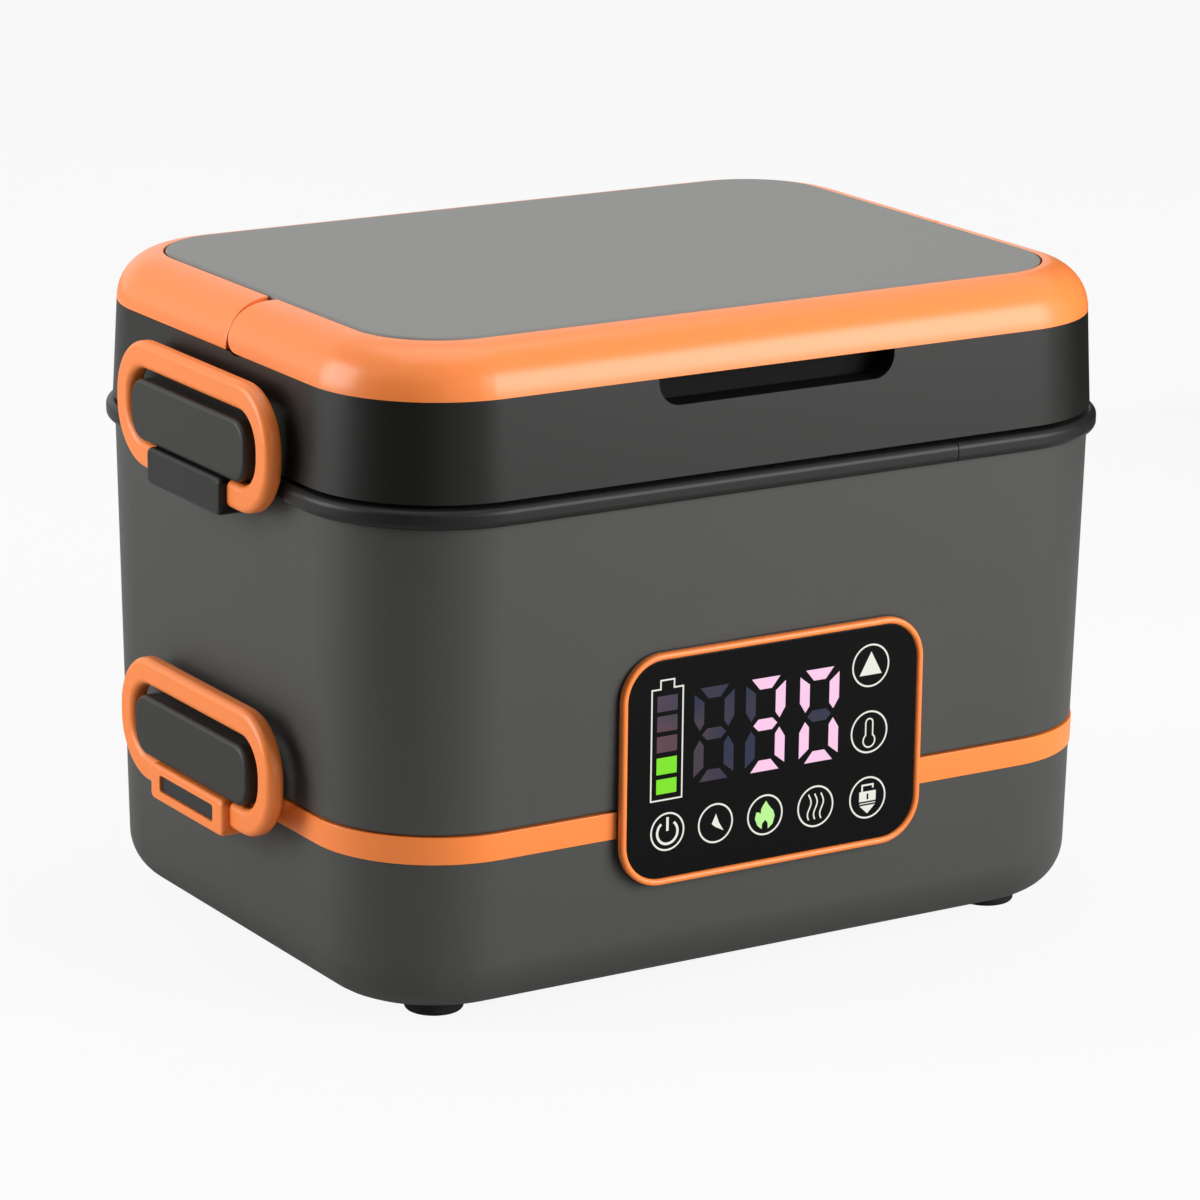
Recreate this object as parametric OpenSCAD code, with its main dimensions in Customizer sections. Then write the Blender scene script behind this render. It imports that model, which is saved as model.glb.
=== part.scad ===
// Cordless electric lunch box: a battery base, a heated body and a lift-off lid,
// held together by two pairs of side latches, with a carry handle round the lid.
// Frame: +X to the right along the front, +Y to the back, +Z up, origin on the
// surface it stands on, under the middle of the box. Millimetres.

/* [Overall] */
// Width of the body at its rim
body_w = 240; // [220:1:260]
// Depth of the body at its rim
body_d = 177; // [165:1:195]
// Corner radius of the body at its rim
corner_r = 37; // [34:1:42]
// Inward lean of the body and base walls, degrees
draft = 1.2; // [0.5:0.1:2]
// Wall of the base, body and lid shells
wall = 2.4; // [2:0.1:3]

/* [Levels] */
// Height of the feet under the base
foot_h = 3.5; // [2.5:0.5:6]
// Height of the base up to its band
base_h = 43; // [40:1:52]
// Height of the coloured band
band_h = 7.5; // [6:0.5:10]
// Height of the body between band and rim ring
body_h = 82.7; // [78:0.1:96]
// Height of the rim ring
ring_h = 5.3; // [4.5:0.1:7]
// Height of the lid skirt
skirt_h = 26.5; // [25:0.5:34]
// Radius of the lid shoulder
shoulder_r = 13; // [12:0.5:15]

/* [Base] */
// Fillet round the bottom of the base
base_fillet = 14; // [8:1:16]
// How far the band stands out
band_out = 0.4; // [0:0.1:1]
// Foot radius
foot_r = 8; // [6:0.5:10]
// Foot place from the middle, along X
foot_x = 90; // [70:1:95]
// Foot place from the middle, along Y
foot_y = 64; // [45:1:66]
// Thickness of the deck over the battery
deck_t = 2; // [1.5:0.5:3]
// Battery cell radius
cell_r = 9.2; // [9:0.1:10]
// Battery cell length
cell_l = 65; // [60:1:70]
// Cells in each of the two rows
cell_rows = 4; // [2:1:5]
// Radius of the screw posts
post_r = 4; // [3.5:0.5:5]

/* [Body] */
// How far the rim ring stands out
ring_out = 2.5; // [1.5:0.1:3.5]
// Width of the food pot outside its walls
pot_w = 196; // [180:1:200]
// Depth of the food pot outside its walls, front to back
pot_d = 134; // [120:1:138]
// Corner radius of the food pot
pot_r = 26; // [20:1:32]
// Height of the food pot under its flange
pot_h = 70; // [60:1:70]
// Sheet of the food pot
pot_t = 1; // [0.6:0.1:1.5]
// Thickness of the heating plate
plate_t = 3; // [2:0.5:4]
// Place of the butt joint in the rim ring
seam_x = 56.7; // [40:0.1:70]

/* [Display] */
// Width of the display over its bezel
panel_w = 97; // [80:1:100]
// Height of the display over its bezel
panel_h = 65; // [50:1:70]
// Corner radius of the display
panel_r = 13; // [8:1:16]
// Height of the display's middle above the ground
panel_z = 64.3; // [60:0.1:70]
// Width of the bezel
bezel_w = 2.5; // [2:0.1:4]
// How far the display stands out
panel_out = 3.2; // [3:0.1:4]

/* [Latches] */
// Length of a latch loop
loop_l = 87; // [75:1:92]
// Height of a latch loop
loop_h = 35; // [32:1:38]
// Corner radius of a latch loop
loop_r = 16.5; // [12:0.5:17]
// Width of the loop's bar
bar_w = 7.5; // [6:0.5:8.5]
// Thickness of the loop's bar
bar_t = 5.2; // [4.5:0.1:6]
// Length of the boss inside a loop
boss_l = 65; // [50:1:66]
// Length of a latch bracket
bracket_l = 42; // [30:1:46]
// Radius of the hinge pins
pin_r = 1.5; // [1.2:0.1:2]

/* [Lid] */
// How far the lid stands over the body's outline
lid_over = 0.6; // [0.2:0.1:1.5]
// Inward lean of the lid skirt, degrees
lid_draft = 3; // [1:0.5:4]
// Thickness of the handle's and the trim's wall
skin = 3; // [2.5:0.1:3.5]
// Height of the top panel over the trim
panel_up = 0.5; // [0:0.1:1.5]
// Width of the finger recess
recess_w = 74; // [60:1:90]
// Height of the finger recess
recess_h = 7.6; // [6:0.1:9]
// Depth of the finger recess
recess_d = 8; // [6:0.5:9]
// Place of the handle's ends along Y
handle_end = -4.2; // [-12:0.1:10]
// Radius of the handle's end, about its pivot
knuckle_r = 5.2; // [5:0.1:5.5]

/* [Clearances] */
// Gap between faces that part
gap = 0.3; // [0.2:0.05:0.5]
// Shadow gap under the lid skirt
lid_gap = 1.2; // [0.8:0.1:2]
// Radial running clearance of a hinge pin
run = 0.06; // [0.03:0.01:0.1]

/* [Hidden] */
$fn = 64;

// Colours
dark = [0.30, 0.30, 0.29];
black = [0.10, 0.10, 0.10];
grey = [0.55, 0.55, 0.54];
orange = [0.98, 0.50, 0.24];
steel = [0.80, 0.80, 0.82];

// Levels
z_base = foot_h;
z_band = z_base + base_h;
z_split = z_band + band_h;
z_body = z_split + gap;
z_ring = z_body + body_h;
z_ring_top = z_ring + ring_h;
z_lid = z_ring_top + lid_gap;
z_skirt_top = z_lid + skirt_h;
z_top = z_skirt_top + shoulder_r + 0.2;

// Half sizes of the body's and the lid's outlines
a = body_w / 2;
b = body_d / 2;
r = corner_r;
al = a + lid_over;
bl = b + lid_over;
rl = r + lid_over;

// Inward lean of the body and of the lid at a height
function lean(z) = (z_ring - z) * tan(draft);
function lid_lean(z) = (z - z_lid) * tan(lid_draft);

// Tongue-and-ledge sizes that the band and the rim ring share
tongue_gap = 0.15;
tongue_h = 4;
ledge_t = 1.8;

// Base
deck_z = z_band + 1.5;
post_x = foot_x - 12;
post_y = b - 22;
floor_z = z_base + wall;
cell_pitch = 2 * cell_r + 1.2;
cell_z = floor_z + 4 + cell_r;
holder_t = 8;
holder_h = 10;
strap_t = 0.5;
strap_w = 6;
board_t = 1.6;
charge_w = 84;
charge_d = 22;
charge_x = 7;
charge_y = b - 27;
charge_lift = 6;
charge_post_x = 35;
charge_post_y = 7;
part_w = 10;
part_pitch = 18;
screw_r = 1.4;
screw_l = 12;
head_r = 2.8;
head_h = 1.8;
pilot_r = screw_r + 0.05;
pass_r = screw_r + 0.2;
contact_t = deck_t + 0.3;
contact_w = 40;
contact_d = 14;
contact_y = 40;
contact_pitch = 8;
pin_block_h = 3;
contact_r = 1.5;
inlet_x = 60;
inlet_z = z_base + 22;
inlet_w = 12;
inlet_depth = 6;
jack_r = 3;

// Body
collar_t = 2.5;
collar_z = z_ring_top - 1 - collar_t;
pot_top = collar_z + collar_t + pot_t;
pot_bottom = pot_top - pot_h;
pot_flange = 4;
plate_w = pot_w / 2 - 10;
plate_d = pot_d / 2 - 10;
plate_z = pot_bottom - gap - plate_t;
pad_t = 4;
pad_air = 2.7;
pad_edge = 16;
therm_r = 8;
ring_in = wall + 2 * ledge_t;
liner_t = 1.8;
liner_z = plate_z - pad_t - liner_t - pad_air;
liner_post_r = 5;
liner_post_x = plate_w - 8;
liner_post_y = plate_d - 9;
liner_w = (pot_w / 2 + a - ring_in) / 2;
liner_d = (pot_d / 2 + b - ring_in) / 2;
liner_r = pot_r + liner_w - pot_w / 2;
foam_gap = 1;
foam_lift = 4;

// Display
panel_top = panel_z + panel_h / 2;
panel_back = b - lean(panel_top) + 0.1;
bezel_r = bezel_w / 2;
glass_t = 1.2;
plug_w = 84;
plug_h = 30;
plug_z = z_body + wall + 3;
chip_h = 2.2;
board_air = 1.5;
plug_depth = panel_back - liner_d - board_t - chip_h - board_air;
glass_under = 0.8;
glass_fit = 0.05;
glass_front = panel_back + panel_out - glass_under;

// Latches: the hinge axes of the upper and the lower pair, in line
latch_x = a + ring_out + 0.6 + bar_t / 2;
upper_z = z_ring - 5 + bar_w / 2;
lower_z = z_band - 2.9 + bar_w / 2;
notch_l = loop_l - 4;
boss_edge = 1.2;
boss_out = bar_t / 2 + 0.9;
boss_gap = 0.7;
boss_h = loop_h - 2 * bar_w - boss_gap - 2.5;
bracket_out = bar_t / 2 + 2.1;
bracket_up = bar_w / 2 + boss_gap - gap;
bracket_down = 6;
bracket_edge = 1;
bracket_r = 2;
stub = 7;

// Lid and handle
shoulder_u = -lid_lean(z_skirt_top) - shoulder_r;
shoulder_z = z_skirt_top + 0.2;
shell_r = shoulder_r - skin - gap;
deck_top = z_top - skin - gap;
panel_inset = -shoulder_u + 0.5;
pivot_y = handle_end - knuckle_r;
pivot_z = z_top - knuckle_r;
ear_x = al + shoulder_u;
pocket_r = pivot_z - z_skirt_top + 0.6;
hub_in = 0.2;
pivot_in = 6;
pivot_out = 3;
lid_post_x = 70;
lid_post_y = bl - 9;
lid_plate_z = z_lid + 2;
plug_in = 5;
seal_r = 1.4;
seal_w = 3;
lid_foam_in = 16;
lid_foam_r = 18;

// Overlap of a block's middle with its sides, and half of it, left off each side
lap = 0.02;
core = lap / 2;

// ---------- shared forms ----------

// Sweeps a profile in (outward, up) once round a rounded rectangle
module around(hx, hy, rad) {
    for (k = [0 : 3]) {
        side = (k % 2 == 0) ? hx : hy;
        other = (k % 2 == 0) ? hy : hx;
        rotate([0, 0, 90 * k]) {
            translate([side - rad, other - rad, 0])
                rotate_extrude(angle = 90) translate([rad, 0]) children();
            translate([side, other - rad, 0]) rotate([90, 0, 0])
                linear_extrude(height = 2 * (other - rad)) children();
        }
    }
}

// The same, filled in the middle between two heights
module block_around(hx, hy, rad, z0, z1) {
    around(hx, hy, rad) children();
    translate([rad - hx - lap, rad - hy - lap, z0])
        cube([2 * (hx - rad + lap), 2 * (hy - rad + lap), z1 - z0]);
}

// A rounded rectangular plate with plain edges
module plate(hx, hy, rad, z0, z1) {
    block_around(hx, hy, rad, z0, z1)
        translate([core - rad, z0]) square([rad - core, z1 - z0]);
}

// A rounded rectangular plate with a rounded upper edge
module soft_plate(hx, hy, rad, z0, z1, edge) {
    block_around(hx, hy, rad, z0, z1) {
        translate([core - rad, z0]) square([rad - edge - core, z1 - z0]);
        translate([-edge - 0.01, z0]) square([edge + 0.01, z1 - z0 - edge]);
        translate([-edge, z1 - edge]) intersection() {
            circle(r = edge);
            square(edge);
        }
    }
}

// Profile of a leaning wall, filled inward, with a fillet at its foot
module tub_profile(z0, z1, inset, fillet) {
    uc = -lean(z0 + fillet) - inset - fillet;
    polygon([
        [core - r, z0], [uc, z0], [uc, z0 + fillet], [uc + fillet, z0 + fillet],
        [-lean(z1) - inset, z1], [core - r, z1]
    ]);
    translate([uc, z0 + fillet]) circle(r = fillet);
}

// Solid bounded by the body's leaning walls
module tub(z0, z1, inset, fillet) {
    block_around(a, b, r, z0, z1) tub_profile(z0, z1, inset, fillet);
}

// Puts a form drawn with its outward direction along Z on the right side
module face_right() {
    rotate([90, 0, 90]) children();
}

// Puts a form drawn with its outward direction along Z on the front
module face_front() {
    rotate([90, 0, 0]) children();
}

// A form on the right side, or its mirror image on the left
module on_side(s) {
    if (s > 0) children();
    else mirror([1, 0, 0]) children();
}

// Cylinder along Y, centred on a point
module rod_y(x, z, radius, length) {
    translate([x, length / 2, z]) rotate([90, 0, 0]) cylinder(r = radius, h = length);
}

// Cylinder along X from one place to another
module rod_x(x0, x1, y, z, radius) {
    translate([x0, y, z]) rotate([0, 90, 0]) cylinder(r = radius, h = x1 - x0);
}

// Places at the four corners of a rectangle
module four(x, y) {
    for (sx = [-1, 1], sy = [-1, 1]) translate([sx * x, sy * y, 0]) children();
}

// A pan-head screw pointing up, its head under z
module screw_up(z, length) {
    translate([0, 0, z - head_h]) cylinder(r = head_r, h = head_h);
    translate([0, 0, z]) cylinder(r = screw_r, h = length);
}

// ---------- base ----------

module base_shell() {
    color(dark) difference() {
        union() {
            difference() {
                tub(z_base, z_band, 0, base_fillet);
                tub(floor_z, z_band + 1, wall, base_fillet - wall);
            }
            four(post_x, post_y) translate([0, 0, floor_z - 0.5])
                cylinder(r = post_r, h = deck_z - floor_z + 0.5);
            translate([inlet_x - inlet_w / 2 - wall, b - lean(inlet_z) - wall - inlet_depth,
                       inlet_z - inlet_w / 2 - wall])
                cube([inlet_w + 2 * wall, inlet_depth + wall / 2, inlet_w + 2 * wall]);
        }
        four(post_x, post_y) translate([0, 0, deck_z - screw_l - 2])
            cylinder(r = pilot_r, h = screw_l + 8);
        four(foot_x, foot_y) translate([0, 0, z_base - 1]) cylinder(r = 3, h = wall + 2);
        translate([inlet_x - inlet_w / 2, b - lean(inlet_z) - inlet_depth,
                   inlet_z - inlet_w / 2])
            cube([inlet_w, inlet_depth + 5, inlet_w]);
        translate([inlet_x, b - lean(inlet_z) - 20, inlet_z]) rotate([-90, 0, 0])
            cylinder(r = jack_r + 1.6, h = 20);
    }
}

module base_band() {
    u = -lean(z_band);
    color(orange) around(a, b, r) polygon([
        [u + band_out, z_band], [-lean(z_split) + band_out, z_split],
        [u - wall, z_split], [u - wall, deck_z],
        [u - wall - ledge_t, deck_z], [u - wall - ledge_t, z_band - tongue_h],
        [u - wall - tongue_gap, z_band - tongue_h], [u - wall - tongue_gap, z_band]
    ]);
}

module base_deck() {
    inset = lean(z_band) + wall + gap;
    color(dark) difference() {
        plate(a - inset, b - inset, r - inset, deck_z, deck_z + deck_t);
        four(post_x, post_y) translate([0, 0, deck_z - 1])
            cylinder(r = pass_r, h = deck_t + 2);
    }
}

module feet() {
    color(black) four(foot_x, foot_y) {
        rotate_extrude() {
            square([foot_r - 1.2, foot_h]);
            translate([0, 1.2]) square([foot_r, foot_h - 1.2]);
            translate([foot_r - 1.2, 1.2]) circle(r = 1.2);
        }
        cylinder(r = 2.9, h = foot_h + wall);
        translate([0, 0, floor_z]) cylinder(r1 = 4, r2 = 2.9, h = 2);
    }
}

module base_screws() {
    color(steel) four(post_x, post_y) translate([0, 0, deck_z + deck_t])
        rotate([180, 0, 0]) screw_up(0, screw_l);
}

// Places along the row of cells
function cell_y(i) = (i - (cell_rows - 1) / 2) * cell_pitch;

module battery_cells() {
    color("seagreen") for (s = [-1, 1], i = [0 : cell_rows - 1])
        rod_x(s > 0 ? 2 : -2 - cell_l, s > 0 ? 2 + cell_l : -2, cell_y(i), cell_z, cell_r);
}

module cell_holder() {
    span = cell_rows * cell_pitch + 4;
    color(black) difference() {
        for (x = [-2 - cell_l * 0.75, -2 - cell_l * 0.25, 2 + cell_l * 0.25, 2 + cell_l * 0.75])
            translate([x - holder_t / 2, -span / 2, floor_z])
                cube([holder_t, span, holder_h]);
        for (i = [0 : cell_rows - 1])
            rod_x(-cell_l - 10, cell_l + 10, cell_y(i), cell_z, cell_r + 0.05);
    }
}

module battery_straps() {
    color(steel) for (s = [-1, 1], i = [0 : 2 : cell_rows - 2])
        translate([s * (2 + cell_l + strap_t / 2) - strap_t / 2, cell_y(i) - strap_w / 2,
                   cell_z - strap_w / 2])
            cube([strap_t, cell_pitch + strap_w, strap_w]);
}

module charge_board() {
    color("darkgreen") difference() {
        union() {
            translate([charge_x - charge_w / 2, charge_y - charge_d / 2, floor_z + charge_lift])
                cube([charge_w, charge_d, board_t]);
            for (i = [-1 : 1])
                translate([charge_x + i * part_pitch - part_w / 2, charge_y - part_w / 2,
                           floor_z + charge_lift + board_t - 0.1])
                    cube([part_w, part_w - 1, part_w / 2]);
            translate([charge_x, charge_y, 0]) four(charge_post_x, charge_post_y)
                translate([0, 0, floor_z]) cylinder(r = 3, h = charge_lift + 0.2);
        }
        translate([charge_x, charge_y, 0]) four(charge_post_x, charge_post_y)
            translate([0, 0, floor_z + charge_lift - 2]) cylinder(r = 1.2, h = 8);
    }
}

module charge_inlet() {
    face = b - lean(inlet_z) - inlet_depth;
    color(black) translate([inlet_x, face, inlet_z]) rotate([90, 0, 0]) {
        difference() {
            union() {
                cylinder(r = jack_r + 1.5, h = 13);
                translate([-6, -6, wall]) cube([12, 12, 10]);
            }
            translate([0, 0, -1]) cylinder(r = jack_r, h = 11);
        }
        translate([0, 0, 1]) cylinder(r = 1, h = 10);
    }
}

module contact_block() {
    color(black) difference() {
        translate([-contact_w / 2, contact_y - contact_d / 2, deck_z + deck_t])
            cube([contact_w, contact_d, contact_t]);
        for (i = [-1.5 : 1 : 1.5])
            translate([i * contact_pitch, contact_y, deck_z + deck_t + contact_t - 0.4])
                cylinder(r = contact_r + 0.8, h = 2);
    }
}

// ---------- latches ----------

// Bracket that carries a loop's pin, on the right side, drawn about the axis
module bracket_form(az) {
    hx = bracket_l / 2;
    h = bracket_up + bracket_down;
    translate([0, 0, az - bracket_down + h / 2]) face_right()
        soft_plate(hx, h / 2, bracket_r, a - 12, latch_x + bracket_out, bracket_edge);
}

// Space of the leaning side wall between two heights
module wall_space(z0, z1, grow = 0) {
    rotate([90, 0, 0]) translate([0, 0, -b]) linear_extrude(height = 2 * b) polygon([
        [0, z0], [a - lean(z0) + grow, z0], [a - lean(z1) + grow, z1], [0, z1]
    ]);
}

module bracket_upper(s) {
    color(dark) on_side(s) difference() {
        bracket_form(upper_z);
        wall_space(z_body, z_ring);
        wall_space(z_ring, z_ring_top, 0.2);
        rod_y(latch_x, upper_z, pin_r + run, bracket_l + 2);
    }
}

// Sizes of the dark inlay in a lower bracket
inlay_l = 31;
inlay_h = 4.8;
inlay_d = 1.2;
inlay_r = 0.9;
inlay_fit = 0.1;
inlay_z = lower_z + (bracket_up - bracket_down) / 2 + 0.3;

// The inlay on the right side, smaller by fit all round, this thick from the
// bottom of its slot
module inlay_form(fit, t) {
    slot = latch_x + bracket_out - inlay_d;
    translate([0, 0, inlay_z]) face_right()
        plate(inlay_l / 2 - fit, inlay_h / 2 - fit, inlay_r - fit, slot, slot + t);
}

module bracket_lower(s) {
    color(orange) on_side(s) difference() {
        bracket_form(lower_z);
        wall_space(z_base, z_band);
        wall_space(z_band, z_split, band_out + 0.1);
        rod_y(latch_x, lower_z, pin_r + run, bracket_l + 2);
        inlay_form(0, inlay_d + 1);
    }
}

module bracket_inlays() {
    color(black) for (s = [-1, 1]) on_side(s) inlay_form(inlay_fit, inlay_d / 2);
}

// Section of a loop's bar, its outer edge at 0, its back at 0
module bar_section(edge = 2) {
    for (u = [edge - bar_w, -edge], v = [edge, bar_t - edge])
        translate([u, v]) circle(r = edge);
    translate([-bar_w, edge]) square([bar_w, bar_t - 2 * edge]);
    translate([edge - bar_w, 0]) square([bar_w - 2 * edge, bar_t]);
}

module loop_form(az) {
    back = latch_x - bar_t / 2;
    difference() {
        translate([back, 0, az - bar_w / 2 + loop_h / 2]) face_right()
            around(loop_l / 2, loop_h / 2, loop_r) bar_section();
        translate([back - 1, -bracket_l / 2 - gap, az - bar_w / 2 - 1])
            cube([bar_t + 2, bracket_l + 2 * gap, bar_w + 2]);
        rod_y(latch_x, az, pin_r, bracket_l + 2 * stub);
    }
}

module pin_form(az) {
    rod_y(latch_x, az, pin_r, bracket_l + 2 * stub - 0.2);
}

module loop_upper(s) { color(orange) on_side(s) loop_form(upper_z); }
module loop_lower(s) { color(orange) on_side(s) loop_form(lower_z); }
module pin_upper(s) { color(steel) on_side(s) pin_form(upper_z); }
module pin_lower(s) { color(steel) on_side(s) pin_form(lower_z); }

// Boss that a loop snaps over, on the right side
module boss_form(az) {
    translate([0, 0, az + bar_w / 2 + boss_gap + boss_h / 2]) face_right()
        soft_plate(boss_l / 2, boss_h / 2, 6.5, a - 8, latch_x + boss_out, boss_edge);
}

module boss_lower(s) {
    color(dark) on_side(s) difference() {
        boss_form(lower_z);
        wall_space(z_body, z_ring);
        wall_space(z_band, z_body, band_out + 0.5);
    }
}

module boss_upper(s) {
    color(dark) on_side(s) difference() {
        boss_form(upper_z);
        rotate([90, 0, 0]) translate([0, 0, -b]) linear_extrude(height = 2 * b) polygon([
            [0, z_lid], [al, z_lid], [al - lid_lean(z_skirt_top), z_skirt_top],
            [0, z_skirt_top]
        ]);
        translate([0, -b, z_ring - 2]) cube([a + 1, 2 * b, z_lid - z_ring + 2]);
    }
}

// ---------- body ----------

module body_shell() {
    color(dark) difference() {
        union() {
            difference() {
                tub(z_body, z_ring, 0, 0.8);
                tub(z_body + wall, z_ring + 1, wall, 3);
            }
            four(liner_post_x, liner_post_y) translate([0, 0, z_body + 1])
                cylinder(r = liner_post_r, h = liner_z - z_body - 1);
        }
        four(liner_post_x, liner_post_y) translate([0, 0, z_body - 1])
            cylinder(r = pass_r, h = liner_z - z_body + 2);
        translate([-plug_w / 2 - gap, -b - 5, plug_z - gap])
            cube([plug_w + 2 * gap, 12, plug_h + 2 * gap]);
        for (i = [-1.5 : 1 : 1.5])
            translate([i * contact_pitch, contact_y, z_body - 1])
                cylinder(r = contact_r + 0.1, h = wall + 2);
    }
}

module rim_ring() {
    edge = 1.8;
    color(dark) difference() {
        around(a, b, r) {
            polygon([
                [-wall - tongue_gap, z_ring], [ring_out - edge, z_ring],
                [ring_out - edge, z_ring_top], [-wall - ledge_t, z_ring_top],
                [-wall - ledge_t, collar_z], [-wall - 2 * ledge_t, collar_z],
                [-wall - 2 * ledge_t, z_ring - tongue_h],
                [-wall - tongue_gap, z_ring - tongue_h]
            ]);
            for (z = [z_ring + edge, z_ring_top - edge])
                translate([ring_out - edge, z]) circle(r = edge);
            translate([ring_out - edge, z_ring + edge])
                square([edge, ring_h - 2 * edge]);
        }
        for (s = [-1, 1]) on_side(s)
            translate([a + 0.1, -notch_l / 2, z_ring - 1])
                cube([ring_out + 1, notch_l, ring_h + 2]);
        translate([seam_x - 0.15, -b - ring_out - 1, z_ring - 1])
            cube([0.3, ring_out + 2.5, ring_h + 2]);
    }
}

module pot_collar() {
    inset = wall + ledge_t + gap;
    color(black) difference() {
        plate(a - inset, b - inset, r - inset, collar_z, collar_z + collar_t);
        plate(pot_w / 2 + gap, pot_d / 2 + gap, pot_r + gap, collar_z - 1,
              collar_z + collar_t + 1);
    }
}

// Profile of the food pot: flange, wall and bottom, filled inward
module pot_profile(grow, z0, fillet) {
    polygon([
        [core - pot_r, z0], [grow - fillet, z0], [grow - fillet, z0 + fillet],
        [grow, z0 + fillet], [grow, pot_top], [core - pot_r, pot_top]
    ]);
    translate([grow - fillet, z0 + fillet]) circle(r = fillet);
}

module food_pot() {
    flange = pot_r + pot_flange;
    color(steel) difference() {
        union() {
            block_around(pot_w / 2, pot_d / 2, pot_r, pot_bottom, pot_top)
                pot_profile(0, pot_bottom, 8);
            plate(pot_w / 2 + pot_flange, pot_d / 2 + pot_flange, flange,
                  pot_top - pot_t, pot_top);
        }
        translate([0, 0, pot_t]) block_around(pot_w / 2, pot_d / 2, pot_r, pot_bottom, pot_top)
            pot_profile(-pot_t, pot_bottom, 8 - pot_t);
    }
}

module heating_plate() {
    color(steel) plate(plate_w, plate_d, pot_r - 4, plate_z, plate_z + plate_t);
}

module heater_pads() {
    hx = plate_w / 2 - pad_edge;
    hy = plate_d - pad_edge - 5;
    color("goldenrod") for (s = [-1, 1])
        translate([s * plate_w / 2 - hx, -hy, plate_z - pad_t]) cube([2 * hx, 2 * hy, pad_t]);
}

module thermostat() {
    color(black) translate([0, 0, liner_z + liner_t]) {
        cylinder(r = therm_r, h = plate_z - liner_z - liner_t - gap);
        translate([-1.5 * therm_r, -3, 0]) cube([3 * therm_r, 6, 2]);
    }
}

module inner_liner() {
    color("gainsboro") difference() {
        union() {
            difference() {
                plate(liner_w, liner_d, liner_r, liner_z, collar_z - gap);
                plate(liner_w - liner_t, liner_d - liner_t, liner_r - liner_t,
                      liner_z + liner_t, collar_z);
            }
            four(liner_post_x, liner_post_y) translate([0, 0, liner_z + liner_t / 2])
                cylinder(r = liner_post_r, h = plate_z - liner_z - liner_t / 2);
        }
        four(liner_post_x, liner_post_y) translate([0, 0, liner_z - 1])
            cylinder(r = pilot_r, h = 6);
    }
}

module insulation() {
    inset = wall + lean(z_body) + foam_gap;
    z0 = z_body + wall + foam_lift;
    color("wheat") difference() {
        plate(a - inset, b - inset, r - inset, z0, z_ring - tongue_h - gap);
        plate(liner_w + gap, liner_d + gap, liner_r + gap, z0 - 1, z_ring);
        translate([-plug_w / 2 - 3, -b, z0 - 1])
            cube([plug_w + 6, b - liner_d, plug_h + 10]);
    }
}

module body_screws() {
    color(steel) four(liner_post_x, liner_post_y)
        screw_up(z_body, liner_z - z_body + 4);
}

module contact_pins() {
    top = liner_z - gap;
    bottom = deck_z + deck_t + contact_t;
    color("gold") for (i = [-1.5 : 1 : 1.5])
        translate([i * contact_pitch, contact_y, bottom])
            cylinder(r = contact_r, h = top - bottom);
}

module pin_block() {
    color(black) difference() {
        translate([-contact_w / 2 + 2, contact_y - contact_d / 2 + 2, z_body + wall])
            cube([contact_w - 4, contact_d - 4, pin_block_h]);
        for (i = [-1.5 : 1 : 1.5])
            translate([i * contact_pitch, contact_y, z_body]) cylinder(r = contact_r, h = 10);
    }
}

module display_housing() {
    hx = panel_w / 2 - bezel_w - glass_fit;
    hy = panel_h / 2 - bezel_w - glass_fit;
    color(black) {
        translate([0, 0, panel_z]) face_front()
            plate(hx, hy, panel_r - bezel_w, panel_back, glass_front - glass_t);
        difference() {
            translate([-plug_w / 2, -panel_back - 0.5, plug_z])
                cube([plug_w, plug_depth + 0.5, plug_h]);
            translate([-plug_w / 2 + 2, -panel_back + 1, plug_z + 2])
                cube([plug_w - 4, plug_depth + 5, plug_h - 4]);
        }
    }
}

module glass_panel() {
    hx = panel_w / 2 - bezel_w - glass_fit;
    hy = panel_h / 2 - bezel_w - glass_fit;
    color([0.08, 0.08, 0.09]) translate([0, 0, panel_z]) face_front()
        soft_plate(hx, hy, panel_r - bezel_w, glass_front - glass_t, glass_front, 0.3);
}

module panel_bezel() {
    color(orange) translate([0, 0, panel_z]) face_front()
        around(panel_w / 2, panel_h / 2, panel_r) {
            translate([-bezel_w, panel_back]) square([bezel_w, panel_out - bezel_r]);
            translate([-bezel_r, panel_back + panel_out - bezel_r]) circle(r = bezel_r);
        }
}

module control_board() {
    back = panel_back - plug_depth;
    color("darkgreen") {
        translate([-plug_w / 2, -back, plug_z]) cube([plug_w, board_t, plug_h]);
        translate([-20, -back + board_t, plug_z + 8]) cube([12, 2, 12]);
        translate([14, -back + board_t, plug_z + 6]) cube([8, chip_h, 8]);
    }
}

// ---------- lid ----------

// Profile of the lid's dark shell, filled inward, thinner by t
module lid_profile(t, z0) {
    side = shell_r - t;
    ledge = z_skirt_top - t;
    polygon([
        [core - rl, z0], [-lid_lean(z0) - t, z0], [-lid_lean(ledge) - t, ledge],
        [shoulder_u + side, ledge], [shoulder_u + side, shoulder_z],
        [shoulder_u, shoulder_z], [shoulder_u, deck_top - t], [core - rl, deck_top - t]
    ]);
    translate([shoulder_u, shoulder_z]) circle(r = side);
}

module lid_solid(t, z0) {
    block_around(al, bl, rl, z0, deck_top - t) lid_profile(t, z0);
}

// Finger recess seen from the front: square at the top, rounded below
module recess_outline(w, h, rad, up) {
    translate([-w / 2, -h + rad]) square([w, h - rad + up]);
    translate([-w / 2 + rad, -h]) square([w - 2 * rad, rad + 0.01]);
    for (s = [-1, 1]) translate([s * (w / 2 - rad), -h + rad]) circle(r = rad);
}

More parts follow.
